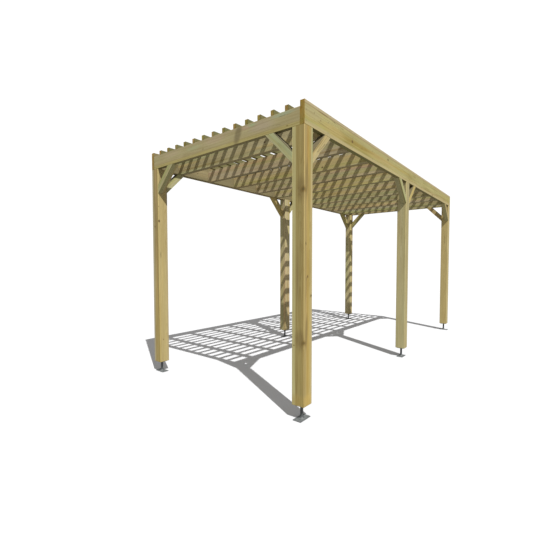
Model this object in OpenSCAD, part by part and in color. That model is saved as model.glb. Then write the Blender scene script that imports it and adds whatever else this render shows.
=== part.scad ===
// Wooden pergola: six square posts on bolt-down feet carry two long beams, with
// joists hung between the beams and rafters laid on the joists.
// +X runs along the length, +Z is up, and the origin is on the ground at the centre.

/* [Overall] */
// Length over the long beams
length = 4980; // [4150:10:6000]
// Width over the outer faces of the long beams
width = 2140; // [1780:10:2600]
// Height from the ground to the top of the roof
height = 2560; // [2130:10:3100]

/* [Posts and braces] */
// Side of the square posts
post_w = 120; // [100:1:145]
// Thickness of a brace
brace_t = 70; // [56:1:84]
// Depth of a brace, square to its slope
brace_d = 70; // [55:1:90]
// Distance from a post to the far end of its brace, along the beam
brace_reach = 285; // [230:5:400]

/* [Roof] */
// Thickness of the long beams and the end beams
beam_t = 45; // [36:1:60]
// Thickness of a joist
joist_t = 58; // [46:1:70]
// Depth of the joists and the end beams
joist_d = 145; // [120:1:175]
// Number of joists, even so that none meets the middle posts
joist_count = 10; // [6:2:14]
// Clear gap between an end beam and the first joist
end_gap = 285; // [200:5:345]
// Width of a rafter
rafter_w = 38; // [31:1:50]
// Depth of a rafter, which lies on the joists
rafter_d = 45; // [36:1:60]
// Number of rafters
rafter_count = 13; // [9:2:19]

/* [Feet] */
// Clear height from the ground to the end of a post
foot_h = 120; // [90:5:160]
// Long side of the base plate
plate_l = 150; // [130:1:180]
// Short side of the base plate
plate_w = 80; // [66:1:100]
// Thickness of the base plate
plate_t = 5; // [4:0.5:8]
// Diameter of the round stem
stem_d = 26; // [21:1:32]
// Thickness of the seat plate under the post
seat_t = 5; // [4:0.5:8]
// How far the seat plate stops short of each face of the post
seat_inset = 15; // [8:1:20]
// Radius of the stem's flare where it meets the base plate
flare_r = 32; // [26:1:38]
// Height of the flare
flare_h = 36; // [30:1:45]
// Thickness left at the flare's rim
flare_rim = 1.5; // [1:0.5:3]
// Diameter of the four anchor holes
hole_d = 11; // [9:0.5:13]
// Distance from a hole's centre to both edges of the plate
hole_inset = 15; // [12:1:18]

/* [Hidden] */
$fn = 48;
TIMBER = [0.69, 0.63, 0.43];
STEEL = [0.26, 0.28, 0.28];

rows = ["front", "back"];
sides = ["left", "middle", "right"];
post_x = [-(length - post_w) / 2, 0, (length - post_w) / 2];
post_y = [-(width - post_w) / 2, (width - post_w) / 2];

beam_d = joist_d + rafter_d;
beam_z = height - beam_d;
between_beams = width - 2 * beam_t;
first_joist_x = -length / 2 + beam_t + end_gap;
joist_pitch = (-2 * first_joist_x - joist_t) / (joist_count - 1);
rafter_gap = (between_beams - rafter_count * rafter_w) / (rafter_count + 1);

function place(row, side) = str(rows[row], "_", sides[side]);
function is_corner(side) = side != 1;
// The plates of one diagonal pair of corners lie across the length, and the others along it
function is_turned(row, side) = is_corner(side) && (side == 0) == (row == 1);

places = [for (row = [0, 1], side = [0:2]) [row, side]];

// A frame on a post's axis, turned so that +X and +Y point inwards from a corner
module post_frame(row, side) {
    translate([post_x[side], post_y[row], 0])
        mirror([side == 2 ? 1 : 0, 0, 0])
            mirror([0, row, 0])
                children();
}

module post(row, side) {
    color(TIMBER)
        translate([post_x[side] - post_w / 2, post_y[row] - post_w / 2, foot_h])
            cube([post_w, post_w, beam_z - foot_h]);
}

// A brace that climbs at 45 degrees from a post's face at x = 0 to a beam at z = 0
module brace() {
    across = brace_d * sqrt(2);
    inner = brace_reach - across;
    translate([0, brace_t, 0])
        rotate([90, 0, 0])
            linear_extrude(brace_t)
                polygon([[0, -brace_reach], [brace_reach, 0], [inner, 0], [0, -inner]]);
}

// The two braces of one post, flush with its outer faces
module braces(row, side) {
    color(TIMBER) post_frame(row, side) {
        translate([post_w / 2, -post_w / 2, beam_z]) brace();
        if (is_corner(side))
            translate([-post_w / 2, post_w / 2, beam_z]) mirror([1, -1, 0]) brace();
        else
            mirror([1, 0, 0]) translate([post_w / 2, -post_w / 2, beam_z]) brace();
    }
}

// The trumpet-shaped spread at the bottom of a stem
module flare() {
    spread = flare_r - stem_d / 2;
    rise = flare_h - flare_rim;
    curve = [for (t = [90:-10:0]) [flare_r - spread * cos(t), flare_h - rise * sin(t)]];
    rotate_extrude() polygon(concat([[0, 0], [flare_r, 0]], curve, [[0, flare_h]]));
}

module base_plate() {
    difference() {
        translate([-plate_l / 2, -plate_w / 2, 0]) cube([plate_l, plate_w, plate_t]);
        for (sx = [-1, 1], sy = [-1, 1])
            translate([sx * (plate_l / 2 - hole_inset), sy * (plate_w / 2 - hole_inset), -1])
                cylinder(d = hole_d, h = plate_t + 2);
    }
}

// A bolt-down foot: base plate, flared round stem, and the seat of the post
module foot(row, side) {
    seat_w = post_w - 2 * seat_inset;
    color(STEEL)
        translate([post_x[side], post_y[row], 0])
            rotate(is_turned(row, side) ? 90 : 0) {
                base_plate();
                cylinder(d = stem_d, h = foot_h);
                translate([0, 0, plate_t]) flare();
                translate([-seat_w / 2, -seat_w / 2, foot_h - seat_t]) cube([seat_w, seat_w, seat_t]);
            }
}

module long_beam(row) {
    y = row == 0 ? -width / 2 : width / 2 - beam_t;
    color(TIMBER) translate([-length / 2, y, beam_z]) cube([length, beam_t, beam_d]);
}

// A board of the joists' depth that fills the width between the long beams
module cross_board(x, thickness) {
    color(TIMBER)
        translate([x, -between_beams / 2, beam_z]) cube([thickness, between_beams, joist_d]);
}

module joist(i) {
    cross_board(first_joist_x + (i - 1) * joist_pitch, joist_t);
}

module rafter(i) {
    y = -between_beams / 2 + rafter_gap + (i - 1) * (rafter_w + rafter_gap);
    color(TIMBER) translate([-length / 2, y, height - rafter_d]) cube([length, rafter_w, rafter_d]);
}

for (p = places) {
    name = place(p[0], p[1]);
    post(p[0], p[1]);
    foot(p[0], p[1]);
    braces(p[0], p[1]);
}
long_beam(0);  // beam_front
long_beam(1);  // beam_back
cross_board(-length / 2, beam_t);  // end_beam_left
cross_board(length / 2 - beam_t, beam_t);  // end_beam_right
for (i = [1:joist_count])
    joist(i);
for (i = [1:rafter_count])
    rafter(i);
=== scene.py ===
"""The looks of a free-standing timber pergola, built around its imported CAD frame.

Every timber is remade as an eased, slightly undersized board that carries its own piece of a log in
its vertices, so that the grain, rings, knots and end grain of one finish run true on every face.
The steel feet are remade with rounded plates, flared stems and weld beads, and the screws are added.
"""

import logging
import math
import random
from collections.abc import Callable, Iterable, Sequence
from dataclasses import dataclass, field
from enum import Enum

import bmesh
import bpy
from mathutils import Matrix, Vector


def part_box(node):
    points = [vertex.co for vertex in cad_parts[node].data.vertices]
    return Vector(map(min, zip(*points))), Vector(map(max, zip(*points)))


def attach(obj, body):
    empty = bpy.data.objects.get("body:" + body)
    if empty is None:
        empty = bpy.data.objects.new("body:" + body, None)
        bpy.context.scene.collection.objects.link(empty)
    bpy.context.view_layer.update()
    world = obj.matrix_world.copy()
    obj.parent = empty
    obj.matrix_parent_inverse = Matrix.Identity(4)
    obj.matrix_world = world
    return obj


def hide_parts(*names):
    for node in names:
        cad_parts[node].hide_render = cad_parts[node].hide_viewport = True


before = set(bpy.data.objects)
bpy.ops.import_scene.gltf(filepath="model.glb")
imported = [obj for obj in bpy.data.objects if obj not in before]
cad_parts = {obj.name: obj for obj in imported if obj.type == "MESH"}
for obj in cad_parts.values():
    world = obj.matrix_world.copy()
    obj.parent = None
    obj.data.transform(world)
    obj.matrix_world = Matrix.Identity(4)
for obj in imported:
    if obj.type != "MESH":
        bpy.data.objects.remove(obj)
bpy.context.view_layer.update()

log = logging.getLogger("pergola")
UP = Vector((0, 0, 1))
Colour = tuple[float, float, float]
ROWS = ("front", "back")
SIDES = ("left", "middle", "right")
PLACES = tuple(f"{row}_{side}" for row in ROWS for side in SIDES)
NEAR = 1e-5  # Two measures closer than this count as the same
WHOLE = 9.0  # Half a length that is longer than any board


# Shader graph


class Term:
    """A number or vector in a node tree that takes part in Python sums."""

    def __init__(self, graph: "Graph", socket: bpy.types.NodeSocket) -> None:
        """Wraps one output socket of a node in graph."""
        self.graph = graph
        self.socket = socket

    def __add__(self, other: "Value") -> "Term":
        """Adds a value."""
        return self.graph.math("ADD", self, other)

    def __radd__(self, other: "Value") -> "Term":
        """Adds to a value."""
        return self.graph.math("ADD", other, self)

    def __sub__(self, other: "Value") -> "Term":
        """Takes a value away."""
        return self.graph.math("SUBTRACT", self, other)

    def __rsub__(self, other: "Value") -> "Term":
        """Is taken away from a value."""
        return self.graph.math("SUBTRACT", other, self)

    def __mul__(self, other: "Value") -> "Term":
        """Multiplies by a value."""
        return self.graph.math("MULTIPLY", self, other)

    def __rmul__(self, other: "Value") -> "Term":
        """Multiplies a value."""
        return self.graph.math("MULTIPLY", other, self)

    def __truediv__(self, other: "Value") -> "Term":
        """Divides by a value."""
        return self.graph.math("DIVIDE", self, other)

    def __rtruediv__(self, other: "Value") -> "Term":
        """Divides a value."""
        return self.graph.math("DIVIDE", other, self)

    def __gt__(self, other: "Value") -> "Term":
        """Is 1 where this is greater than other, and 0 elsewhere."""
        return self.graph.math("GREATER_THAN", self, other)


Value = Term | float | int | Sequence[float]


class Graph:
    """The node tree of one finish. Every node but the sums of Term comes from add."""

    def __init__(self, name: str) -> None:
        """Starts an empty material with its Principled shader and output.

        Args:
            name: The material's name.
        """
        self.material = bpy.data.materials.new(name)
        self.material.use_nodes = True
        self.tree = self.material.node_tree
        self.tree.nodes.clear()
        self.shader = self.add("ShaderNodeBsdfPrincipled")
        self.add("ShaderNodeOutputMaterial", inputs={"Surface": self.shader.outputs[0]})

    def add(
        self,
        kind: str,
        settings: dict[str, object] | None = None,
        inputs: dict[str | int, object] | None = None,
    ) -> bpy.types.Node:
        """Adds one node.

        Args:
            kind: The node's type name.
            settings: Its own settings, set before its sockets.
            inputs: Values or links of its input sockets, by name or number.

        Returns:
            The new node.
        """
        node = self.tree.nodes.new(kind)
        for key, value in (settings or {}).items():
            setattr(node, key, value)
        for key, value in (inputs or {}).items():
            self.feed(node.inputs[key], value)
        return node

    def feed(self, socket: bpy.types.NodeSocket, value: object) -> None:
        """Links a term or a socket to an input, or sets the input's own value."""
        if isinstance(value, Term):
            self.tree.links.new(value.socket, socket)
        elif isinstance(value, bpy.types.NodeSocket):
            self.tree.links.new(value, socket)
        elif socket.type == "RGBA" and len(value) == 3:
            socket.default_value = (*value, 1.0)
        else:
            socket.default_value = value

    def math(self, operation: str, *values: Value, clamp: bool = False) -> Term:
        """Works out one sum on numbers with a Math node."""
        settings = {"operation": operation, "use_clamp": clamp}
        return Term(self, self.add("ShaderNodeMath", settings, dict(enumerate(values))).outputs[0])

    def vector(self, operation: str, *values: object) -> Term:
        """Works out one sum on vectors with a Vector Math node; dot products and distances are numbers."""
        keys = (0, "Scale") if operation == "SCALE" else (0, 1)
        node = self.add("ShaderNodeVectorMath", {"operation": operation}, dict(zip(keys, values)))
        number = operation in ("DOT_PRODUCT", "DISTANCE")
        return Term(self, node.outputs["Value" if number else "Vector"])

    def split(self, vector: Term) -> tuple[Term, Term, Term]:
        """Takes a vector apart into its three numbers."""
        node = self.add("ShaderNodeSeparateXYZ", inputs={0: vector})
        return tuple(Term(self, out) for out in node.outputs)

    def mix(self, first: object, second: object, factor: Value, blend: str = "MIX") -> Term:
        """Mixes two colours.

        Args:
            first: The colour at factor 0.
            second: The colour at factor 1, or the one blended in.
            factor: How much of the second.
            blend: The way of blending, such as MULTIPLY.

        Returns:
            The mixed colour.
        """
        settings = {"data_type": "RGBA", "blend_type": blend, "clamp_factor": True}
        return Term(self, self.add("ShaderNodeMix", settings, {0: factor, 6: first, 7: second}).outputs[2])

    def multiply(self, first: object, second: object, factor: Value = 1.0) -> Term:
        """Multiplies a colour by a second one, as far as factor says."""
        return self.mix(first, second, factor, "MULTIPLY")

    def slope(self, value: Value, low: float, high: float, out: tuple[float, float] = (0.0, 1.0)) -> Term:
        """Maps low..high smoothly onto out, held level beyond both."""
        node = self.add(
            "ShaderNodeMapRange",
            {"interpolation_type": "SMOOTHSTEP", "clamp": True},
            {"Value": value, "From Min": low, "From Max": high, "To Min": out[0], "To Max": out[1]},
        )
        return Term(self, node.outputs[0])

    def noise(
        self,
        place: Term,
        stretch: Sequence[float],
        detail: float = 2.0,
        rough: float = 0.5,
        shift: Sequence[float] | None = None,
    ) -> Term:
        """Samples smooth noise, about 0.5 in the middle.

        Args:
            place: The point.
            stretch: How many waves there are to a metre, each way.
            detail: The number of finer layers.
            rough: How strong each finer layer is.
            shift: A way to another part of the same noise, if it should differ.

        Returns:
            The noise.
        """
        moved = self.vector("ADD", place, shift) if shift else place
        scaled = self.vector("MULTIPLY", moved, stretch)
        settings = {"noise_dimensions": "3D"}
        inputs = {"Vector": scaled, "Scale": 1.0, "Detail": detail, "Roughness": rough}
        return Term(self, self.add("ShaderNodeTexNoise", settings, inputs).outputs[0])

    def attribute(self, name: str, output: str = "Vector") -> Term:
        """Reads one of the mesh's own attributes."""
        return Term(self, self.add("ShaderNodeAttribute", {"attribute_name": name}).outputs[output])

    def facing_up(self, normal: str = "Normal") -> Term:
        """Says how far the surface faces up, from -1 to 1."""
        return self.split(Term(self, self.add("ShaderNodeNewGeometry").outputs[normal]))[2]

    def place(self) -> Term:
        """Gives the point in the object's own frame."""
        return Term(self, self.add("ShaderNodeTexCoord").outputs["Object"])

    def bump(self, height: Term, strength: float, distance: float) -> Term:
        """Turns a height in 0..1 into a normal."""
        inputs = {"Strength": strength, "Distance": distance, "Height": height}
        return Term(self, self.add("ShaderNodeBump", inputs=inputs).outputs[0])

    def finish(
        self, colour: object, roughness: object, normal: Term | None = None, **constant: float
    ) -> bpy.types.Material:
        """Feeds the shader and hands over the material.

        Args:
            colour: The base colour.
            roughness: The roughness.
            normal: The bumped normal, if there is one.
            constant: Other sockets' own values, with underscores for spaces.

        Returns:
            The finished material.
        """
        self.feed(self.shader.inputs["Base Color"], colour)
        self.feed(self.shader.inputs["Roughness"], roughness)
        if normal is not None:
            self.feed(self.shader.inputs["Normal"], normal)
        for key, value in constant.items():
            self.shader.inputs[key.replace("_", " ")].default_value = value
        return self.material


# Finishes


class Tone(Enum):
    """The general colour of one board, before its grain."""

    STRAW = (0.330, 0.272, 0.124)
    GOLD = (0.325, 0.250, 0.096)
    TAN = (0.308, 0.248, 0.112)
    KHAKI = (0.315, 0.284, 0.148)
    OLIVE = (0.290, 0.262, 0.118)
    HAY = (0.360, 0.315, 0.182)
    SAGE = (0.345, 0.318, 0.190)
    BLUSH = (0.362, 0.303, 0.188)


class Face(Enum):
    """A long face of a board, as (axis number, side) in the board's own frame."""

    ACROSS_LOW = (1, -1)
    ACROSS_HIGH = (1, 1)
    DEEP_HIGH = (2, 1)


@dataclass(frozen=True)
class Streak:
    """A soft-edged oval of another colour on one face, lying along the grain.

    Its middle and half sizes are (along the board, across the face). It leans by the given metres along
    for each metre across, and ragged says how uneven its edge is.
    """

    face: Face
    middle: tuple[float, float]
    half: tuple[float, float]
    colour: Colour
    strength: float = 0.7
    soft: float = 0.5
    lean: float = 0.0
    ragged: float = 0.9
    skin_depth: float = 0.006

    def paint(self, graph: Graph, place: Term, half: Term, wobble: Term, under: Term) -> Term:
        """Lays the streak over a colour.

        Args:
            graph: The finish's node tree.
            place: The point in the board's own frame.
            half: The board's half sizes.
            wobble: Noise that makes the streak's edge uneven.
            under: The colour below.

        Returns:
            The colour with the streak on it.
        """
        axis, side = self.face.value
        at, size = graph.split(place), graph.split(half)
        near = (at[axis] * side + self.skin_depth) > size[axis]
        off = at[3 - axis] - self.middle[1]
        along = (at[0] - self.middle[0] - off * self.lean) / self.half[0]
        cross = off / self.half[1]
        far = graph.math("SQRT", along * along + cross * cross) + (wobble - 0.5) * self.ragged
        inside = graph.slope(far, 1.0 + self.soft, 1.0 - self.soft)
        return graph.mix(under, self.colour, inside * near * self.strength)


def band(
    face: Face,
    across: float,
    half: float,
    colour: Colour,
    strength: float,
    soft: float = 0.5,
    ragged: float = 0.9,
) -> Streak:
    """Makes a streak that runs the whole length of its board."""
    return Streak(face, (0.0, across), (WHOLE, half), colour, strength, soft, ragged=ragged)


@dataclass(frozen=True)
class Branch:
    """A knot: the stub of a branch that runs through the board from one point to another."""

    start: tuple[float, float, float]
    end: tuple[float, float, float]
    radius: float
    colour: Colour = (0.085, 0.060, 0.026)
    strength: float = 0.8
    halo: float = 2.2

    def distance(self, graph: Graph, place: Term) -> Term:
        """Works out how many radii a point is from the branch's middle line."""
        run = Vector(self.end) - Vector(self.start)
        out = graph.vector("SUBTRACT", place, self.start)
        dot = graph.vector("DOT_PRODUCT", out, tuple(run))
        reach = graph.math("DIVIDE", dot, run.length_squared, clamp=True)
        nearest = graph.vector("SCALE", tuple(run), reach)
        return graph.vector("DISTANCE", out, nearest) / self.radius


@dataclass(frozen=True)
class TimberFinish:
    """Planed, pressure-treated softwood, cut from a log that each board's vertices place.

    The mesh gives "board", the point in the board's own frame with +X along it, "half", the board's
    half sizes, "heart", how far the log's heart lies from the board's middle, and "tint".
    """

    name: str = "treated_timber"
    ring: float = 0.0052
    streaks: tuple[Streak, ...] = ()
    branches: tuple[Branch, ...] = ()
    late_colour: Colour = (0.74, 0.67, 0.54)
    rose_colour: Colour = (1.05, 0.94, 0.96)
    green_colour: Colour = (0.91, 1.01, 0.88)
    gold_colour: Colour = (1.06, 0.99, 0.80)
    umber_colour: Colour = (0.80, 0.73, 0.60)
    pale_colour: Colour = (1.15, 1.15, 1.12)
    cloud_colour: Colour = (0.86, 0.84, 0.78)
    smoky_colour: Colour = (0.62, 0.54, 0.40)
    coarse_dark: Colour = (0.80, 0.75, 0.66)
    coarse_light: Colour = (1.12, 1.11, 1.06)
    fibre_dark: Colour = (0.84, 0.80, 0.74)
    rubbed_colour: Colour = (1.10, 1.10, 1.06)
    # Painted shade for the faces that look down
    underside_shade_colour: Colour = (0.52, 0.50, 0.43)
    end_colour: Colour = (0.95, 0.88, 0.66)
    end_late_colour: Colour = (0.62, 0.54, 0.42)
    end_ray_colour: Colour = (0.76, 0.72, 0.66)
    knot_colour: Colour = (0.10, 0.062, 0.026)
    check_colour: Colour = (0.045, 0.034, 0.018)
    bump_strength: float = 0.45
    bump_depth: float = 0.0012
    gloss: float = 0.08

    def material(self) -> bpy.types.Material:
        """Builds the node tree.

        Returns:
            The finished material.
        """
        g = Graph(self.name)
        board, half = g.attribute("board"), g.attribute("half")
        grain = g.vector("ADD", board, g.attribute("heart"))
        knots, knot_mask = self.wild_knots(g, grain)
        own = [branch.distance(g, board) for branch in self.branches]
        for branch, far in zip(self.branches, own):
            knots = knots + g.slope(far, branch.halo * 1.6, 0.6) * 0.8
        rings, late = self.rings(g, grain, knots)
        fibre = g.noise(grain, (7, 330, 330), 2.0, 0.6)
        coarse = g.noise(grain, (2.2, 95, 95), 2.0, 0.55)
        patch = g.noise(grain, (1.3, 9, 9), 3.0, 0.6)
        wobble = g.noise(grain, (0.9, 26, 26), 3.0, 0.6)
        sizes, at = g.split(half), g.split(board)
        end = (g.math("ABSOLUTE", at[0]) + 0.002) > sizes[0]
        check = self.checks(g, grain, end)
        colour = self.tones(g, grain, g.attribute("tint", "Color"))
        for streak in self.streaks:
            colour = streak.paint(g, board, half, wobble, colour)
        colour = g.multiply(colour, self.late_colour, late * g.slope(patch, 0.3, 0.7, (0.15, 0.60)))
        colour = g.multiply(colour, self.coarse_dark, g.slope(coarse, 0.48, 0.70) * 0.5)
        colour = g.multiply(colour, self.coarse_light, g.slope(coarse, 0.50, 0.30) * 0.5)
        colour = g.multiply(colour, self.fibre_dark, g.slope(fibre, 0.50, 0.72) * 0.7)
        colour = self.end_grain(g, colour, end, late, grain)
        rubbed = self.arris(g, at, sizes) * g.slope(patch, 0.35, 0.6)
        colour = g.multiply(colour, self.rubbed_colour, rubbed * 0.6)
        colour = g.mix(colour, self.knot_colour, knot_mask * 0.85)
        for branch, far in zip(self.branches, own):
            colour = g.multiply(colour, self.smoky_colour, g.slope(far, branch.halo, 0.7) * branch.strength)
            colour = g.mix(colour, branch.colour, g.slope(far, 1.15, 0.75) * branch.strength)
        # Painted shade: faces that look down are darkened to stand for the weak light that reaches
        # undersides
        colour = g.multiply(colour, self.underside_shade_colour, g.slope(g.facing_up("True Normal"), -0.6, -0.95))
        colour = g.mix(colour, self.check_colour, check * 0.8)
        height = rings * 0.30 + fibre * 0.35 + coarse * 0.25 + knot_mask * 0.25 - check * 1.2
        roughness = g.slope(fibre, 0.3, 0.75, (0.72, 0.88)) - late * 0.08 + end * 0.06
        normal = g.bump(height, self.bump_strength, self.bump_depth)
        return g.finish(colour, roughness, normal, Specular_IOR_Level=self.gloss)

    def wild_knots(self, g: Graph, grain: Term) -> tuple[Term, Term]:
        """Scatters small knots through the log.

        Returns:
            How far each knot pushes the rings aside, and a mask of the knots themselves.
        """
        settings = {"voronoi_dimensions": "3D", "feature": "F1"}
        scaled = g.vector("MULTIPLY", grain, (5.2, 7.4, 7.4))
        cell = g.add("ShaderNodeTexVoronoi", settings, {"Vector": scaled, "Scale": 1.0, "Randomness": 0.9})
        far = Term(g, cell.outputs["Distance"])
        pick, size, _ = g.split(Term(g, cell.outputs["Color"]))
        kept = pick > 0.45
        ratio = far / (size * 0.055 + 0.055)
        return g.slope(ratio, 4.0, 0.4) * kept, g.slope(ratio, 1.08, 0.80) * kept

    def rings(self, g: Graph, grain: Term, knots: Term) -> tuple[Term, Term]:
        """Lays the growth rings round the log's heart, which wanders and tapers.

        Returns:
            A saw-tooth across each ring, and a mask of its dark late wood.
        """
        wander = g.noise(grain, (0.75, 1.5, 1.5))
        drift = g.noise(grain, (0.95, 1.5, 1.5), shift=(7.3, 2.1, 5.7))
        x, y, z = g.split(grain)
        y, z = y + (wander - 0.5) * 0.075, z + (drift - 0.5) * 0.075
        ripple = (g.noise(grain, (2.5, 30, 30)) - 0.5) * 0.0035
        out = g.math("SQRT", y * y + z * z) + x * 0.004 + ripple + knots * 0.012
        step = g.math("FRACT", out / self.ring)
        return step, g.slope(step, 0.45, 0.92) * g.slope(step, 1.0, 0.95)

    def tones(self, g: Graph, grain: Term, colour: Term) -> Term:
        """Lays broad streaks of rose, green, gold and umber along the board, and clouds over it."""
        broad = g.noise(grain, (0.35, 17, 17))
        green = g.noise(grain, (0.30, 13, 13), shift=(3.1, 0.7, 0.3))
        gold = g.noise(grain, (0.45, 15, 15), shift=(5.3, 0.1, 0.8))
        dark = g.noise(grain, (0.55, 24, 24), 3.0, 0.55, (1.7, 0.2, 0.9))
        cloud = g.noise(grain, (1.6, 6, 6), shift=(9.1, 0.4, 0.6))
        layers = (
            (self.rose_colour, broad, 0.50, 0.66),
            (self.green_colour, green, 0.50, 0.66),
            (self.gold_colour, gold, 0.46, 0.66),
            (self.umber_colour, dark, 0.53, 0.72),
            (self.pale_colour, dark, 0.46, 0.30),
            (self.cloud_colour, cloud, 0.50, 0.72),
        )
        for tone, noise, low, high in layers:
            colour = g.multiply(colour, tone, g.slope(noise, low, high))
        return colour

    def end_grain(self, g: Graph, colour: Term, end: Term, late: Term, grain: Term) -> Term:
        """Deepens the cut ends, where the rings show whole and the preservative soaked in."""
        ray = g.noise(grain, (1.0, 210, 210), 3.0, 0.7)
        soaked = g.multiply(colour, self.end_colour)
        soaked = g.multiply(soaked, self.end_late_colour, late * 0.8)
        soaked = g.multiply(soaked, self.end_ray_colour, g.slope(ray, 0.48, 0.70))
        return g.mix(colour, soaked, end)

    def arris(self, g: Graph, at: tuple[Term, Term, Term], sizes: tuple[Term, Term, Term]) -> Term:
        """Finds the rubbed strip along the four long edges."""
        across = sizes[1] - g.math("ABSOLUTE", at[1])
        deep = sizes[2] - g.math("ABSOLUTE", at[2])
        return g.slope(g.math("MAXIMUM", across, deep), 0.010, 0.002)

    def checks(self, g: Graph, grain: Term, end: Term) -> Term:
        """Finds the hair-fine drying cracks, which lie along the grain in a few places."""
        wave = g.noise(grain, (0.9, 26, 26), 1.0, shift=(4.4, 8.8, 1.1))
        line = g.slope(g.math("ABSOLUTE", wave - 0.5), 0.0065, 0.0025)
        where = g.noise(grain, (1.1, 7, 7), 1.0, shift=(0.6, 5.5, 3.3))
        return line * g.slope(where, 0.58, 0.64) * (1 - end)


@dataclass(frozen=True)
class SteelFinish:
    """Dark grey powder coat with fine orange peel and darker blotches, dusty on top and specked with dust.
    """

    name: str = "post_foot"
    coat: Colour = (0.050, 0.055, 0.055)
    dust: Colour = (0.115, 0.122, 0.118)
    soot: Colour = (0.028, 0.030, 0.031)

    def material(self) -> bpy.types.Material:
        """Builds the node tree.

        Returns:
            The finished material.
        """
        g = Graph(self.name)
        place = g.place()
        peel = g.noise(place, (900, 900, 900))
        blotch = g.noise(place, (38, 38, 38), 4.0, 0.65)
        speck = g.noise(place, (420, 420, 420), 2.0, 0.7)
        colour = g.mix(self.coat, self.soot, g.slope(blotch, 0.55, 0.35) * 0.6)
        settled = g.slope(g.facing_up(), 0.55, 0.98) * g.slope(blotch, 0.30, 0.62, (0.55, 1.0))
        colour = g.mix(colour, self.dust, settled)
        colour = g.mix(colour, self.dust, g.slope(speck, 0.62, 0.74) * 0.5)
        roughness = g.slope(blotch, 0.3, 0.7, (0.42, 0.55)) + settled * 0.18
        return g.finish(colour, roughness, g.bump(peel, 0.12, 0.0004), Specular_IOR_Level=0.5)


@dataclass(frozen=True)
class ScrewFinish:
    """Brown-coated structural screws, worn bright in places."""

    name: str = "screw_coat"
    coat: Colour = (0.120, 0.092, 0.052)
    worn: Colour = (0.260, 0.240, 0.190)

    def material(self) -> bpy.types.Material:
        """Builds the node tree.

        Returns:
            The finished material.
        """
        g = Graph(self.name)
        place = g.place()
        rubbed = g.slope(g.noise(place, (260, 260, 260), 3.0, 0.65), 0.52, 0.66)
        colour = g.mix(self.coat, self.worn, rubbed * 0.6)
        fine = g.noise(place, (1500, 1500, 1500), 1.0)
        return g.finish(colour, 0.5 - rubbed * 0.12, g.bump(fine, 0.10, 0.0002), Metallic=0.6)


@dataclass(frozen=True)
class FloorFinish:
    """A plain matt studio floor that throws back less light than it shows."""

    name: str = "studio_floor"
    colour: Colour = (0.52, 0.52, 0.525)
    bounce: Colour = (0.36, 0.36, 0.36)

    def material(self) -> bpy.types.Material:
        """Builds the node tree.

        Returns:
            The finished material.
        """
        g = Graph(self.name)
        seen = Term(g, g.add("ShaderNodeLightPath").outputs["Is Camera Ray"])
        return g.finish(g.mix(self.bounce, self.colour, seen), 1.0, Specular_IOR_Level=0.0)


# Making pieces


class Bench:
    """The mesh of one piece while it is made, solid by solid."""

    def __init__(self) -> None:
        """Starts with an empty mesh that has the layers a timber needs."""
        self.mesh = bmesh.new()
        layers = self.mesh.verts.layers
        self.board = layers.float_vector.new("board")
        self.half = layers.float_vector.new("half")
        self.heart = layers.float_vector.new("heart")
        self.tint = layers.float_color.new("tint")
        self.done: set[bmesh.types.BMVert] = set()

    def fresh(self) -> list[bmesh.types.BMVert]:
        """Lists the vertices of the solid in hand."""
        return [v for v in self.mesh.verts if v not in self.done]

    def fresh_edges(self, wanted: Callable[[bmesh.types.BMEdge], bool]) -> list[bmesh.types.BMEdge]:
        """Lists the edges of the solid in hand that pass a test."""
        verts = set(self.fresh())
        return [e for e in self.mesh.edges if e.verts[0] in verts and e.verts[1] in verts and wanted(e)]

    def block(self, size: Vector) -> None:
        """Starts a solid as a block centred on the origin."""
        bmesh.ops.create_cube(self.mesh, size=1.0, matrix=Matrix.Diagonal((*size, 1.0)))

    def ease(self, edges: Iterable[bmesh.types.BMEdge], radius: float, segments: int) -> None:
        """Rounds edges over."""
        bmesh.ops.bevel(
            self.mesh, geom=list(edges), offset=radius, offset_type="OFFSET", affect="EDGES",
            segments=segments, profile=0.5, material=-1, clamp_overlap=True,
        )

    def trim(self, point: Vector, normal: Vector) -> None:
        """Cuts the solid in hand with a plane and keeps what lies behind it, with the cut closed."""
        verts = self.fresh()
        edges = [e for e in self.mesh.edges if e.verts[0] not in self.done]
        faces = [f for f in self.mesh.faces if f.verts[0] not in self.done]
        cut = bmesh.ops.bisect_plane(
            self.mesh, geom=[*verts, *edges, *faces], plane_co=point, plane_no=normal, clear_outer=True
        )
        rim = [item for item in cut["geom_cut"] if isinstance(item, bmesh.types.BMEdge)]
        bmesh.ops.edgeloop_fill(self.mesh, edges=rim)

    def set_down(self, turn: Matrix) -> None:
        """Moves the solid in hand to its place and starts the next."""
        verts = self.fresh()
        bmesh.ops.transform(self.mesh, matrix=turn, verts=verts)
        self.done.update(verts)

    def piece(self, name: str, material: bpy.types.Material, slot: str, node: str | None = None) -> None:
        """Turns the mesh into a finished piece of the model.

        Args:
            name: The piece's name.
            material: Its finish.
            slot: The record's material slot. Not used.
            node: The CAD node that it stands for, if any.
        """
        bmesh.ops.recalc_face_normals(self.mesh, faces=self.mesh.faces)
        data = bpy.data.meshes.new(name)
        self.mesh.to_mesh(data)
        self.mesh.free()
        data.materials.append(material)
        piece = bpy.data.objects.new(name, data)
        bpy.context.scene.collection.objects.link(piece)
        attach(piece, "root")
        if node:
            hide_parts(node)
        log.info("%s: %d faces", name, len(data.polygons))


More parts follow.
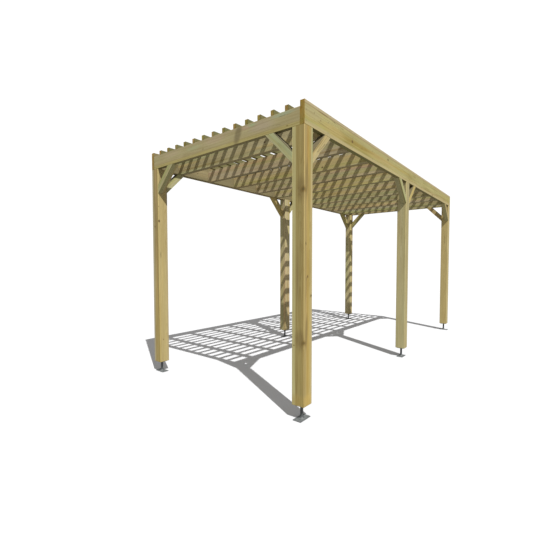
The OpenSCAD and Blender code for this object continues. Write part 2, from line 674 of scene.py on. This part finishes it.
@dataclass
class Board:
    """One straight timber, made along its own X and then laid in place.

    An upright has its log's heart inside it, and its top, under a beam, keeps sharp edges.
    """

    size: Vector
    turn: Matrix
    tone: Tone
    chance: random.Random
    arris: float
    upright: bool = False
    trims: tuple[tuple[Vector, Vector], ...] = ()
    segments: int = 3
    flat: float = 0.9995
    log_length: float = 40.0
    boxed_heart: float = 0.025
    heart_across: float = 0.03
    heart_deep: tuple[float, float] = (0.035, 0.085)
    shade_spread: float = 0.05
    warmth_spread: float = 0.025

    def make(self, bench: Bench) -> None:
        """Makes the timber on a bench."""
        half = self.size / 2
        bench.block(self.size)
        for point, normal in self.trims:
            bench.trim(point, normal)
        top = half.x - NEAR if self.upright else math.inf
        edges = bench.fresh_edges(lambda e: min(v.co.x for v in e.verts) < top)
        bench.ease(edges, self.arris, self.segments)
        self.shade(bench)
        heart = self.heart()
        tint = self.mixed_tint()
        for vert in bench.fresh():
            vert[bench.board] = vert.co.copy()
            vert[bench.half] = half
            vert[bench.heart] = heart
            vert[bench.tint] = (*tint, 1.0)
        bench.set_down(self.turn)

    def heart(self) -> Vector:
        """Places the board in its log: round the heart for an upright, and beside it for the rest."""
        draw = self.chance.uniform
        along = draw(0.0, self.log_length)
        if self.upright:
            limits = (-self.boxed_heart, self.boxed_heart)
            return Vector((along, draw(*limits), draw(*limits)))
        side = self.chance.choice((-1, 1))
        return Vector((along, draw(-self.heart_across, self.heart_across), side * draw(*self.heart_deep)))

    def mixed_tint(self) -> Colour:
        """Varies the tone a little from board to board."""
        shade = self.chance.uniform(1 - self.shade_spread, 1 + self.shade_spread)
        warm = self.chance.uniform(-self.warmth_spread, self.warmth_spread)
        red, green, blue = self.tone.value
        return red * shade * (1 + warm), green * shade, blue * shade * (1 - warm)

    def shade(self, bench: Bench) -> None:
        """Smooths the rounded edges and leaves the sawn faces flat."""
        verts = set(bench.fresh())
        for face in bench.mesh.faces:
            if face.verts[0] in verts:
                face.normal_update()
                face.smooth = max(abs(part) for part in face.normal) < self.flat


def run_along(low: Vector, high: Vector, skin: float) -> tuple[Vector, Matrix]:
    """Works out a straight timber's size and turn from its box.

    Args:
        low: The box's lowest corner.
        high: Its highest corner.
        skin: How far the timber stops short of the box on every side.

    Returns:
        The size in the timber's own frame, with its length first, and the turn that lays it in place.
    """
    span = high - low
    axis = max(range(3), key=lambda i: span[i])
    middle = Matrix.Translation((low + high) / 2)
    turn, order = (
        (Matrix.Identity(4), (0, 1, 2)),
        (Matrix.Rotation(math.pi / 2, 4, "Z"), (1, 0, 2)),
        (Matrix.Rotation(-math.pi / 2, 4, "Y"), (2, 1, 0)),
    )[axis]
    return Vector([span[i] - 2 * skin for i in order]), middle @ turn


@dataclass
class Timberwork:
    """All the posts, beams, joists and rafters, each remade over its CAD node.

    The skin is how far every timber stops short of its CAD box, which leaves room for the screws' heads.
    """

    skin: float = 0.0004
    post_arris: float = 0.0045
    beam_arris: float = 0.0020
    board_arris: float = 0.0015
    seed: int = 41
    tones: dict[str, Tone] = field(default_factory=dict)
    finishes: dict[str, TimberFinish] = field(default_factory=dict)
    plain: bpy.types.Material = field(init=False)
    made: dict[str, bpy.types.Material] = field(init=False, default_factory=dict)

    def __post_init__(self) -> None:
        """Builds the finish that most boards share."""
        self.plain = TimberFinish().material()

    def chance(self, node: str) -> random.Random:
        """Seeds one board's own draws from its name."""
        return random.Random(f"{self.seed} {node}")

    def tone(self, node: str, chance: random.Random) -> Tone:
        """Picks a board's tone: the one that was chosen for it, or a drawn one."""
        drawn = chance.choice((Tone.HAY, Tone.SAGE, Tone.BLUSH))
        return self.tones.get(node, drawn)

    def finish(self, node: str) -> bpy.types.Material:
        """Gives a board its own finish, its kind's finish, or the shared one."""
        kind = node.split("_")[0]
        for name in (node, kind):
            if name in self.finishes and name not in self.made:
                self.made[name] = self.finishes[name].material()
        return self.made.get(node, self.made.get(kind, self.plain))

    def straight(self, node: str) -> None:
        """Makes one straight timber over its CAD node."""
        chance = self.chance(node)
        size, turn = run_along(*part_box(node), self.skin)
        post = node.startswith("post_")
        arris = self.post_arris if post else self.beam_arris if "beam" in node else self.board_arris
        bench = Bench()
        Board(size, turn, self.tone(node, chance), chance, arris, upright=post).make(bench)
        bench.piece(f"timber_{node}", self.finish(node), "treated_timber", node)

    def build(self) -> None:
        """Makes every straight timber."""
        for node in sorted(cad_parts):
            if node.startswith(("post_", "beam_", "end_beam_", "joist_", "rafter_")):
                self.straight(node)


@dataclass
class Braces:
    """The short 45 degree braces between the posts and the beams, two to a post."""

    timber: Timberwork
    depth: float = 0.070
    arris: float = 0.0015
    reach: float = field(init=False)
    thickness: float = field(init=False)

    def __post_init__(self) -> None:
        """Measures the reach and the thickness on the braces of a middle post."""
        low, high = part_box("braces_front_middle")
        self.reach = high.z - low.z
        self.thickness = high.y - low.y

    def ways(self, place: str) -> list[tuple[Vector, Vector]]:
        """Lists the two braces of a post as (way out from the post, way from its outer face inwards)."""
        row, side = place.split("_")
        inwards = Vector((0, 1 if row == "front" else -1, 0))
        along = Vector((-1 if side == "right" else 1, 0, 0))
        second = (-along, inwards) if side == "middle" else (inwards, along)
        return [(along, inwards), second]

    def board(self, place: str, way: int, chance: random.Random) -> Board:
        """Sizes one brace and works out its place.

        Args:
            place: The post's row and side.
            way: 0 for the first of the post's braces, 1 for the second.
            chance: The draws for its tone and grain.

        Returns:
            The brace, ready to make.
        """
        out, inwards = self.ways(place)[way]
        low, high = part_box(f"post_{place}")
        wide = high.x - low.x
        skin = self.timber.skin
        drop = (self.reach - self.depth / math.sqrt(2)) / 2
        face = Vector(((low.x + high.x) / 2, (low.y + high.y) / 2, high.z)) + out * (wide / 2)
        centre = face + (out - UP) * drop + inwards * (self.thickness - wide) / 2
        slope, rise = (out + UP).normalized(), (UP - out).normalized()
        turn = Matrix((slope, rise, slope.cross(rise))).transposed().to_4x4()
        lean = math.sqrt(0.5)
        mitres = [Vector((side * lean, lean, 0)) for side in (-1, 1)]
        size = Vector((2 * self.reach, self.depth - 2 * skin, self.thickness - 2 * skin))
        drawn = chance.choice((Tone.STRAW, Tone.KHAKI, Tone.OLIVE))
        tone = self.timber.tones.get(f"braces_{place}_{way}", drawn)
        trims = tuple((normal * (drop - skin), normal) for normal in mitres)
        return Board(size, Matrix.Translation(centre) @ turn, tone, chance, self.arris, trims=trims)

    def build(self) -> None:
        """Makes the two braces of every post as one piece."""
        for place in PLACES:
            node = f"braces_{place}"
            chance = self.timber.chance(node)
            bench = Bench()
            for way in (0, 1):
                self.board(place, way, chance).make(bench)
            bench.piece(f"timber_{node}", self.timber.finish(node), "treated_timber", node)


@dataclass
class Screw:
    """The head of a timber screw: a shallow dome with a socket."""

    head: float = 0.0045
    rise: float = 0.0004
    sunk: float = 0.0012
    socket: float = 0.0024
    sides: int = 12
    taper: float = 0.86

    def drive(self, bench: Bench, point: Vector, way: Vector) -> None:
        """Sets one head on a surface.

        Args:
            bench: The mesh that gets it.
            point: The middle of the head, on the surface.
            way: The way out of the surface.
        """
        lift = Matrix.Translation((0, 0, (self.rise - self.sunk) / 2))
        made = bmesh.ops.create_cone(
            bench.mesh, cap_ends=True, cap_tris=False, segments=self.sides, radius1=self.head,
            radius2=self.head * self.taper, depth=self.rise + self.sunk, matrix=lift,
        )
        faces = {f for v in made["verts"] for f in v.link_faces}
        top = max(faces, key=lambda f: f.calc_center_median().z)
        rim = self.head * self.taper - self.socket
        bmesh.ops.inset_individual(bench.mesh, faces=[top], thickness=rim)
        hole = bmesh.ops.extrude_discrete_faces(bench.mesh, faces=[top])["faces"][0]
        for vert in hole.verts:
            vert.co.z -= self.rise + self.sunk / 2
        bench.set_down(Matrix.Translation(point) @ way.to_track_quat("Z", "Y").to_matrix().to_4x4())


@dataclass
class Fixings:
    """The screws that hold the roof and the braces, one piece for each run of them."""

    timber: Timberwork
    screw: Screw = field(default_factory=Screw)
    inset: float = 0.030
    brace_inset: float = 0.048
    material: bpy.types.Material = field(init=False)

    def __post_init__(self) -> None:
        """Builds the screws' finish."""
        self.material = ScrewFinish().material()

    def cross_boards(self) -> list[str]:
        """Lists the end beams and joists."""
        return [n for n in sorted(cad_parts) if n.startswith(("end_beam_", "joist_"))]

    def beam_screws(self) -> None:
        """Drives two screws through a long beam into the end of each board that meets it."""
        for row, way in (("front", -1), ("back", 1)):
            low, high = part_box(f"beam_{row}")
            level = (low.y if way < 0 else high.y) - way * self.timber.skin
            bench = Bench()
            for node in self.cross_boards():
                foot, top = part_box(node)
                for z in (foot.z + self.inset, top.z - self.inset):
                    self.screw.drive(bench, Vector(((foot.x + top.x) / 2, level, z)), Vector((0, way, 0)))
            bench.piece(f"beam_screws_{row}", self.material, "post_foot")

    def rafter_screws(self) -> None:
        """Drives one screw down through each rafter where it crosses a board."""
        bench = Bench()
        for rafter in sorted(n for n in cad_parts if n.startswith("rafter_")):
            low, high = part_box(rafter)
            for node in self.cross_boards():
                foot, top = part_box(node)
                spot = Vector(((foot.x + top.x) / 2, (low.y + high.y) / 2, high.z - self.timber.skin))
                self.screw.drive(bench, spot, UP)
        bench.piece("rafter_screws", self.material, "post_foot")

    def brace_screws(self, braces: Braces) -> None:
        """Drives a screw square through each end of every brace, from below."""
        bench = Bench()
        for place in PLACES:
            for way, (out, _) in enumerate(braces.ways(place)):
                board = braces.board(place, way, random.Random(0))
                below = (out - UP).normalized()
                centre = board.turn.translation + below * (braces.depth / 2 - self.timber.skin)
                for end in (-1, 1):
                    reach = braces.reach / math.sqrt(2) - self.brace_inset
                    self.screw.drive(bench, centre + (out + UP).normalized() * end * reach, below)
        bench.piece("brace_screws", self.material, "post_foot")

    def build(self, braces: Braces) -> None:
        """Drives every screw."""
        self.beam_screws()
        self.rafter_screws()
        self.brace_screws(braces)


@dataclass
class Feet:
    """The bolt-down steel feet: a base plate, a flared round stem, and the seat of the post.

    A weld bead runs round each end of the stem, with small ripples in it.
    """

    plate: Vector = field(default_factory=lambda: Vector((0.150, 0.080, 0.005)))
    corner: float = 0.005
    edge: float = 0.0007
    corner_steps: int = 5
    edge_steps: int = 2
    hole_radius: float = 0.0055
    hole_inset: float = 0.015
    stem_radius: float = 0.013
    flare_radius: float = 0.032
    flare_height: float = 0.036
    flare_rim: float = 0.0015
    bead: float = 0.003
    low_bead_rise: float = 0.0024
    top_bead_drop: float = 0.0042
    seat: Vector = field(default_factory=lambda: Vector((0.090, 0.090, 0.005)))
    steps: int = 48
    ripples: int = 24
    ripple: float = 0.0007
    ripple_reach: float = 0.0039
    hole_sides: int = 24
    seat_screw: Screw = field(
        default_factory=lambda: Screw(head=0.0065, rise=0.0035, sunk=0.001, socket=0.003, sides=6)
    )
    seat_screw_at: float = 0.031
    flat: float = 0.999
    small_face: float = 1e-4

    def slab(self, bench: Bench, size: Vector, level: float) -> None:
        """Starts a steel plate with round corners and broken edges.

        Args:
            bench: The mesh that gets it.
            size: Its sizes.
            level: The height of its underside.
        """
        bench.block(size)
        upright = bench.fresh_edges(lambda e: abs(e.verts[0].co.z - e.verts[1].co.z) > size.z / 2)
        bench.ease(upright, self.corner, self.corner_steps)
        rim = bench.fresh_edges(lambda e: abs(e.verts[0].co.z - e.verts[1].co.z) < NEAR)
        bench.ease(rim, self.edge, self.edge_steps)
        bmesh.ops.translate(bench.mesh, verts=bench.fresh(), vec=(0, 0, level + size.z / 2))

    def drill(self, bench: Bench) -> None:
        """Opens the four anchor holes of the base plate in hand."""
        mesh, thick = bench.mesh, self.plate.z
        for axis in (0, 1):
            for side in (-1, 1):
                point, normal = Vector((0, 0, 0)), Vector((0, 0, 0))
                point[axis] = side * (self.plate[axis] / 2 - 2 * self.hole_inset)
                normal[axis] = 1.0
                edges = bench.fresh_edges(lambda e: True)
                faces = [f for f in mesh.faces if f.verts[0] not in bench.done]
                geom = [*bench.fresh(), *edges, *faces]
                bmesh.ops.bisect_plane(mesh, geom=geom, plane_co=point, plane_no=normal)
        across, deep = self.plate.x / 2 - self.hole_inset, self.plate.y / 2 - self.hole_inset
        for sx in (-1, 1):
            for sy in (-1, 1):
                rims = [
                    self.open_ring(bench, Vector((sx * across, sy * deep, level)), way)
                    for level, way in ((0.0, -1), (thick, 1))
                ]
                bmesh.ops.bridge_loops(mesh, edges=rims[0] + rims[1])

    def open_ring(self, bench: Bench, at: Vector, way: int) -> list[bmesh.types.BMEdge]:
        """Opens a round hole in the flat face nearest to a point.

        Args:
            bench: The mesh in hand.
            at: The middle of the hole.
            way: 1 for a face that looks up, -1 for one that looks down.

        Returns:
            The hole's rim.
        """
        mesh = bench.mesh
        fresh = (f for f in mesh.faces if f.verts[0] not in bench.done)
        facing = [f for f in fresh if f.normal.z * way > self.flat]
        face = min(facing, key=lambda f: (f.calc_center_bounds() - at).length)
        outer = list(face.edges)
        bmesh.ops.delete(mesh, geom=[face], context="FACES_ONLY")
        lift = Matrix.Translation(at)
        made = bmesh.ops.create_circle(
            mesh, cap_ends=False, segments=self.hole_sides, radius=self.hole_radius, matrix=lift
        )
        rim = list(dict.fromkeys(e for v in made["verts"] for e in v.link_edges))
        bmesh.ops.bridge_loops(mesh, edges=outer + rim)
        return rim

    def stem(self, bench: Bench, top: float) -> None:
        """Turns the stem, its flare and both weld beads as one profile.

        Args:
            bench: The mesh that gets it.
            top: The height of the seat's underside.
        """
        base, bead = self.plate.z, self.bead
        spread, rise = self.flare_radius - self.stem_radius, self.flare_height - self.flare_rim
        arc = [math.radians(angle) for angle in range(0, 91, 9)]
        low_bead = [
            (self.flare_radius + bead * math.cos(a), base + self.low_bead_rise * math.sin(a))
            for a in arc[:-1]
        ]
        flare = [
            (self.flare_radius - spread * math.cos(a), base + self.flare_height - rise * math.sin(a))
            for a in reversed(arc)
        ]
        flare = [p for p in flare if p[1] > base + self.low_bead_rise]
        top_bead = [
            (self.stem_radius + bead * math.sin(a), top - self.top_bead_drop * math.cos(a)) for a in arc
        ]
        points = [*low_bead, *flare, *top_bead]
        mesh = bench.mesh
        verts = [mesh.verts.new((x, 0, z)) for x, z in points]
        edges = [mesh.edges.new(pair) for pair in zip(verts, verts[1:])]
        bmesh.ops.spin(
            mesh, geom=verts + edges, cent=(0, 0, 0), axis=(0, 0, 1), angle=2 * math.pi, steps=self.steps,
            use_merge=True, use_duplicate=False,
        )
        for vert in bench.fresh():
            beads = vert.co.z < base + bead or vert.co.z > top - self.ripple_reach
            if beads and abs(vert.co.z - top) > NEAR and abs(vert.co.z - base) > NEAR:
                radius = math.hypot(vert.co.x, vert.co.y)
                turn = math.atan2(vert.co.y, vert.co.x)
                grow = 1 + self.ripple / radius * math.sin(self.ripples * turn)
                vert.co.x, vert.co.y = vert.co.x * grow, vert.co.y * grow
        for end in (max, min):
            level = end(v.co.z for v in bench.fresh())
            rim = bench.fresh_edges(lambda e: all(abs(v.co.z - level) < NEAR for v in e.verts))
            bmesh.ops.edgeloop_fill(mesh, edges=rim)

    def make(self, place: str, material: bpy.types.Material) -> None:
        """Makes the foot of one post over its CAD node."""
        low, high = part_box(f"foot_{place}")
        middle = Vector(((low.x + high.x) / 2, (low.y + high.y) / 2, 0))
        turned = (high.y - low.y) > (high.x - low.x)
        turn = Matrix.Translation(middle) @ Matrix.Rotation(math.pi / 2 if turned else 0.0, 4, "Z")
        bench = Bench()
        self.slab(bench, self.plate, 0.0)
        self.drill(bench)
        bench.set_down(turn)
        seat_level = high.z - self.seat.z
        self.stem(bench, seat_level)
        bench.set_down(turn)
        self.slab(bench, self.seat, seat_level)
        bench.set_down(turn)
        for sx in (-1, 1):
            for sy in (-1, 1):
                spot = middle + Vector((sx * self.seat_screw_at, sy * self.seat_screw_at, seat_level))
                self.seat_screw.drive(bench, spot, -UP)
        for face in bench.mesh.faces:
            face.smooth = abs(face.normal.z) < self.flat and face.calc_area() < self.small_face
        bench.piece(f"steel_foot_{place}", material, "post_foot", f"foot_{place}")

    def build(self) -> None:
        """Makes every foot."""
        material = SteelFinish().material()
        for place in PLACES:
            self.make(place, material)


# Studio


@dataclass
class Studio:
    """A pale floor, one crisp key light, a soft even sky, and the camera."""

    floor_radius: float = 9.0
    sun_way: Vector = field(default_factory=lambda: Vector((0.323, 0.6335, -1.0)))
    sun_energy: float = 5.9
    sun_angle: float = 0.009
    sky: Colour = (0.54, 0.54, 0.54)
    backdrop: Colour = (1.05, 1.05, 1.05)
    camera_place: Vector = field(default_factory=lambda: Vector((-4.7263, -2.5765, 1.2845)))
    camera_yaw: float = 38.606
    camera_pitch: float = -2.256
    lens: float = 22.17
    sensor: float = 36.0
    clip: tuple[float, float] = (0.05, 100.0)

    def lay_floor(self) -> None:
        """Lays the floor."""
        mesh = bmesh.new()
        bmesh.ops.create_circle(mesh, cap_ends=True, segments=96, radius=self.floor_radius)
        data = bpy.data.meshes.new("studio_floor")
        mesh.to_mesh(data)
        mesh.free()
        data.materials.append(FloorFinish().material())
        floor = bpy.data.objects.new("studio_floor", data)
        bpy.context.scene.collection.objects.link(floor)

    def light(self) -> None:
        """Sets the sun and the sky, which looks white to the camera."""
        data = bpy.data.lights.new("key_light", "SUN")
        data.energy, data.angle = self.sun_energy, self.sun_angle
        sun = bpy.data.objects.new("key_light", data)
        sun.rotation_euler = self.sun_way.to_track_quat("-Z", "Y").to_euler()
        bpy.context.scene.collection.objects.link(sun)
        world = bpy.data.worlds.new("sky")
        world.use_nodes = True
        tree = world.node_tree
        tree.nodes.clear()
        seen = tree.nodes.new("ShaderNodeLightPath")
        mix = tree.nodes.new("ShaderNodeMixShader")
        out = tree.nodes.new("ShaderNodeOutputWorld")
        tree.links.new(seen.outputs["Is Camera Ray"], mix.inputs[0])
        for slot, colour in ((1, self.sky), (2, self.backdrop)):
            back = tree.nodes.new("ShaderNodeBackground")
            back.inputs["Color"].default_value = (*colour, 1.0)
            tree.links.new(back.outputs[0], mix.inputs[slot])
        tree.links.new(mix.outputs[0], out.inputs["Surface"])
        bpy.context.scene.world = world

    def set_camera(self) -> None:
        """Sets up the camera."""
        data = bpy.data.cameras.new("camera")
        data.lens, data.sensor_width, data.sensor_fit = self.lens, self.sensor, "HORIZONTAL"
        data.clip_start, data.clip_end = self.clip
        camera = bpy.data.objects.new("camera", data)
        yaw, pitch = math.radians(self.camera_yaw), math.radians(self.camera_pitch)
        level = math.cos(pitch)
        way = Vector((math.cos(yaw) * level, math.sin(yaw) * level, math.sin(pitch)))
        camera.location = self.camera_place
        camera.rotation_euler = way.to_track_quat("-Z", "Y").to_euler()
        bpy.context.scene.collection.objects.link(camera)
        bpy.context.scene.camera = camera
        bpy.context.scene.view_settings.view_transform = "Standard"

    def build(self) -> None:
        """Sets up the whole studio."""
        self.lay_floor()
        self.light()
        self.set_camera()


def chosen_tones() -> dict[str, Tone]:
    """Chooses the tones of the boards that stand out."""
    near = {
        "post_front_left": Tone.GOLD,
        "post_front_middle": Tone.KHAKI,
        "post_front_right": Tone.STRAW,
        "post_back_left": Tone.TAN,
        "post_back_middle": Tone.HAY,
        "post_back_right": Tone.HAY,
        "beam_front": Tone.OLIVE,
        "beam_back": Tone.TAN,
        "end_beam_left": Tone.KHAKI,
        "joist_1": Tone.HAY,
        "joist_2": Tone.BLUSH,
        "joist_3": Tone.HAY,
        "joist_4": Tone.BLUSH,
        "braces_front_left_0": Tone.HAY,
        "braces_front_left_1": Tone.SAGE,
        "braces_back_left_0": Tone.SAGE,
        "braces_back_left_1": Tone.KHAKI,
    }
    rafters = (Tone.OLIVE, Tone.TAN, Tone.OLIVE, Tone.KHAKI)
    return near | {f"rafter_{i}": rafters[i % 4] for i in range(1, 14)}


def chosen_finishes() -> dict[str, TimberFinish]:
    """Gives the nearest boards finishes of their own, with their stains, streaks and knots, and painted
    shade on the back beam's inner face (with a painted lit patch), the braces' upper faces and the rafters'
    -Y sides.
    """
    brown, smoky, dark = (0.205, 0.155, 0.066), (0.180, 0.132, 0.052), (0.10, 0.075, 0.03)
    left, front = Face.DEEP_HIGH, Face.ACROSS_LOW
    post = TimberFinish(
        "timber_near_post",
        streaks=(
            band(left, 0.0, 0.060, (0.262, 0.212, 0.082), 0.75, 0.2),
            band(left, 0.048, 0.024, (0.395, 0.360, 0.172), 0.92, 0.25, ragged=0.5),
            Streak(left, (-0.07, 0.004), (0.20, 0.010), brown, 0.7),
            band(left, -0.030, 0.006, (0.25, 0.20, 0.075), 0.6, ragged=0.6),
            band(front, 0.046, 0.015, (0.262, 0.208, 0.090), 0.75, ragged=0.6),
            band(front, -0.050, 0.017, (0.345, 0.285, 0.148), 0.85, ragged=0.6),
            Streak(front, (0.98, -0.052), (0.16, 0.010), (0.27, 0.285, 0.140), 0.8),
            Streak(front, (0.60, -0.004), (0.14, 0.009), brown, 0.55),
            Streak(front, (0.70, 0.026), (0.14, 0.020), smoky, 0.8, lean=-2.2),
            Streak(front, (-0.52, 0.026), (0.12, 0.018), smoky, 0.75, lean=-2.2),
            Streak(left, (0.63, -0.030), (0.09, 0.036), smoky, 0.8, 0.6),
            Streak(left, (-0.58, -0.020), (0.07, 0.044), smoky, 0.75, 0.6),
            Streak(left, (-1.08, 0.0), (0.05, 0.06), (0.33, 0.25, 0.085), 0.6),
            Streak(front, (-1.08, 0.0), (0.05, 0.06), (0.38, 0.27, 0.085), 0.6),
        ),
        branches=(
            Branch((0.60, 0.0, 0.0), (0.63, -0.075, 0.085), 0.010, dark, 0.85, 3.4),
            Branch((-0.63, 0.0, 0.0), (-0.585, -0.085, 0.080), 0.009, dark, 0.7, 3.6),
            Branch((-0.64, 0.02, 0.0), (-0.625, 0.046, 0.085), 0.0045, dark, 0.8, 2.4),
            Branch((-0.24, 0.0, 0.0), (-0.22, -0.085, -0.062), 0.008, (0.115, 0.11, 0.045), 0.8, 2.6),
        ),
    )
    beam = TimberFinish(
        "timber_front_beam",
        end_colour=(0.97, 0.80, 0.48),
        streaks=(
            band(front, 0.084, 0.014, (0.335, 0.282, 0.172), 0.85, 0.2, ragged=0.3),
            band(front, 0.068, 0.0035, (0.225, 0.150, 0.080), 0.7, 0.4, ragged=0.5),
            Streak(front, (-2.22, 0.066), (0.09, 0.005), (0.16, 0.105, 0.045), 0.8, 0.4, ragged=0.4),
            band(front, -0.080, 0.017, (0.340, 0.290, 0.150), 0.8, 0.3, ragged=0.5),
            Streak(front, (-2.38, 0.02), (0.14, 0.05), (0.30, 0.262, 0.150), 0.5, 0.5),
            Streak(front, (-2.00, -0.02), (0.16, 0.045), (0.335, 0.262, 0.105), 0.6, 0.5),
            Streak(front, (-0.9, -0.01), (0.35, 0.03), (0.335, 0.262, 0.108), 0.6, 0.5),
        ),
        branches=(
            Branch((-2.35, 0.02, 0.03), (-2.35, -0.03, 0.03), 0.004, dark, 0.8, 2.0),
            Branch((-2.25, 0.02, 0.0), (-2.25, -0.03, 0.0), 0.005, dark, 0.6, 2.4),
            Branch((-1.45, 0.02, -0.02), (-1.45, -0.03, -0.02), 0.005, dark, 0.6, 2.4),
            Branch((0.3, 0.02, 0.03), (0.3, -0.03, 0.03), 0.007, dark, 0.7, 2.6),
        ),
    )
    outer = Face.ACROSS_HIGH
    end = TimberFinish(
        "timber_near_end_beam",
        streaks=(
            band(outer, 0.0, 0.075, (0.338, 0.292, 0.156), 0.7, 0.2),
            band(outer, 0.060, 0.010, (0.322, 0.268, 0.168), 0.6, 0.4),
            Streak(outer, (-0.86, 0.055), (0.13, 0.016), (0.285, 0.320, 0.205), 0.8),
            Streak(outer, (-0.62, 0.020), (0.12, 0.040), (0.325, 0.268, 0.190), 0.6, 0.6),
            Streak(outer, (-0.50, 0.052), (0.06, 0.014), (0.270, 0.330, 0.180), 0.7, 0.6),
            Streak(outer, (-0.44, 0.045), (0.05, 0.016), (0.400, 0.275, 0.200), 0.6, 0.6),
            Streak(outer, (-0.02, 0.030), (0.14, 0.030), (0.370, 0.290, 0.190), 0.6, 0.6),
            Streak(outer, (0.30, 0.020), (0.10, 0.024), (0.300, 0.310, 0.170), 0.6, 0.6),
            Streak(outer, (0.70, 0.030), (0.16, 0.020), (0.370, 0.295, 0.190), 0.5, 0.6),
            band(outer, -0.058, 0.016, (0.328, 0.280, 0.112), 0.9, 0.25, ragged=0.4),
            band(outer, -0.038, 0.003, (0.25, 0.20, 0.090), 0.6, 0.4, ragged=0.4),
            Streak(outer, (-0.34, 0.010), (0.040, 0.095), (0.150, 0.122, 0.064), 0.72, 0.5, -0.3, 0.35),
            Streak(outer, (0.42, -0.03), (0.07, 0.020), (0.24, 0.20, 0.09), 0.5),
        ),
        branches=(
            Branch((-0.90, 0.0, -0.05), (-0.90, 0.04, -0.05), 0.005, dark, 0.6, 2.4),
            Branch((0.15, 0.0, -0.02), (0.15, 0.04, -0.02), 0.005, dark, 0.5, 2.6),
        ),
    )
    back = TimberFinish(
        "timber_back_left_post",
        streaks=(
            band(left, 0.046, 0.020, (0.350, 0.312, 0.200), 0.9, 0.25, ragged=0.5),
            band(left, -0.045, 0.016, (0.290, 0.230, 0.085), 0.7, ragged=0.6),
            band(front, 0.0, 0.060, (0.345, 0.278, 0.128), 0.7, 0.2),
            band(front, -0.050, 0.012, (0.325, 0.262, 0.150), 0.7, ragged=0.6),
            Streak(left, (0.55, -0.01), (0.16, 0.016), brown, 0.5),
        ),
        branches=(Branch((0.45, 0.0, 0.0), (0.47, 0.02, 0.085), 0.007, dark, 0.6, 3.0),),
    )
    middle = TimberFinish(
        "timber_middle_post",
        streaks=(
            band(left, 0.0, 0.060, (0.365, 0.332, 0.176), 0.7, 0.2),
            band(front, 0.0, 0.060, (0.292, 0.250, 0.128), 0.8, 0.2),
            band(front, -0.048, 0.014, (0.325, 0.290, 0.175), 0.7, ragged=0.6),
            Streak(front, (0.2, 0.01), (0.5, 0.008), brown, 0.5),
        ),
    )
    far = TimberFinish(
        "timber_far_post",
        streaks=(
            band(left, 0.0, 0.060, (0.400, 0.325, 0.150), 0.7, 0.2),
            band(front, 0.0, 0.060, (0.318, 0.272, 0.152), 0.7, 0.2),
        ),
    )
    # Painted shade over the back beam's inner face, with a lighter patch near its left end painted as a
    # patch of sunlight
    behind = TimberFinish(
        "timber_back_beam",
        streaks=(
            band(front, 0.0, 0.095, (0.160, 0.140, 0.080), 0.85, 0.15),
            Streak(front, (-1.75, 0.0), (0.22, 0.05), (0.30, 0.245, 0.130), 0.6, 0.6),
        ),
    )
    # Painted shade: the braces' upper faces are darkened to stand for shade
    brace = TimberFinish(
        "timber_brace",
        streaks=(band(Face.ACROSS_HIGH, 0.0, 0.060, (0.105, 0.094, 0.056), 0.85, 0.1),),
    )
    # Painted shade: the rafters' -Y sides are darkened to stand for shade
    rafter = TimberFinish(
        "timber_rafter",
        streaks=(band(front, 0.0, 0.060, (0.120, 0.116, 0.056), 0.85, 0.1),),
    )
    return {
        "post_front_left": post,
        "beam_front": beam,
        "beam_back": behind,
        "end_beam_left": end,
        "post_back_left": back,
        "post_front_middle": middle,
        "post_front_right": far,
        "braces": brace,
        "rafter": rafter,
    }


def main() -> None:
    """Builds the pergola, the studio, the light and the camera."""
    logging.basicConfig(level=logging.INFO, format="%(name)s %(message)s")
    timber = Timberwork(tones=chosen_tones(), finishes=chosen_finishes())
    timber.build()
    braces = Braces(timber)
    braces.build()
    Feet().build()
    Fixings(timber).build(braces)
    Studio().build()


if __name__ == "__main__":
    main()
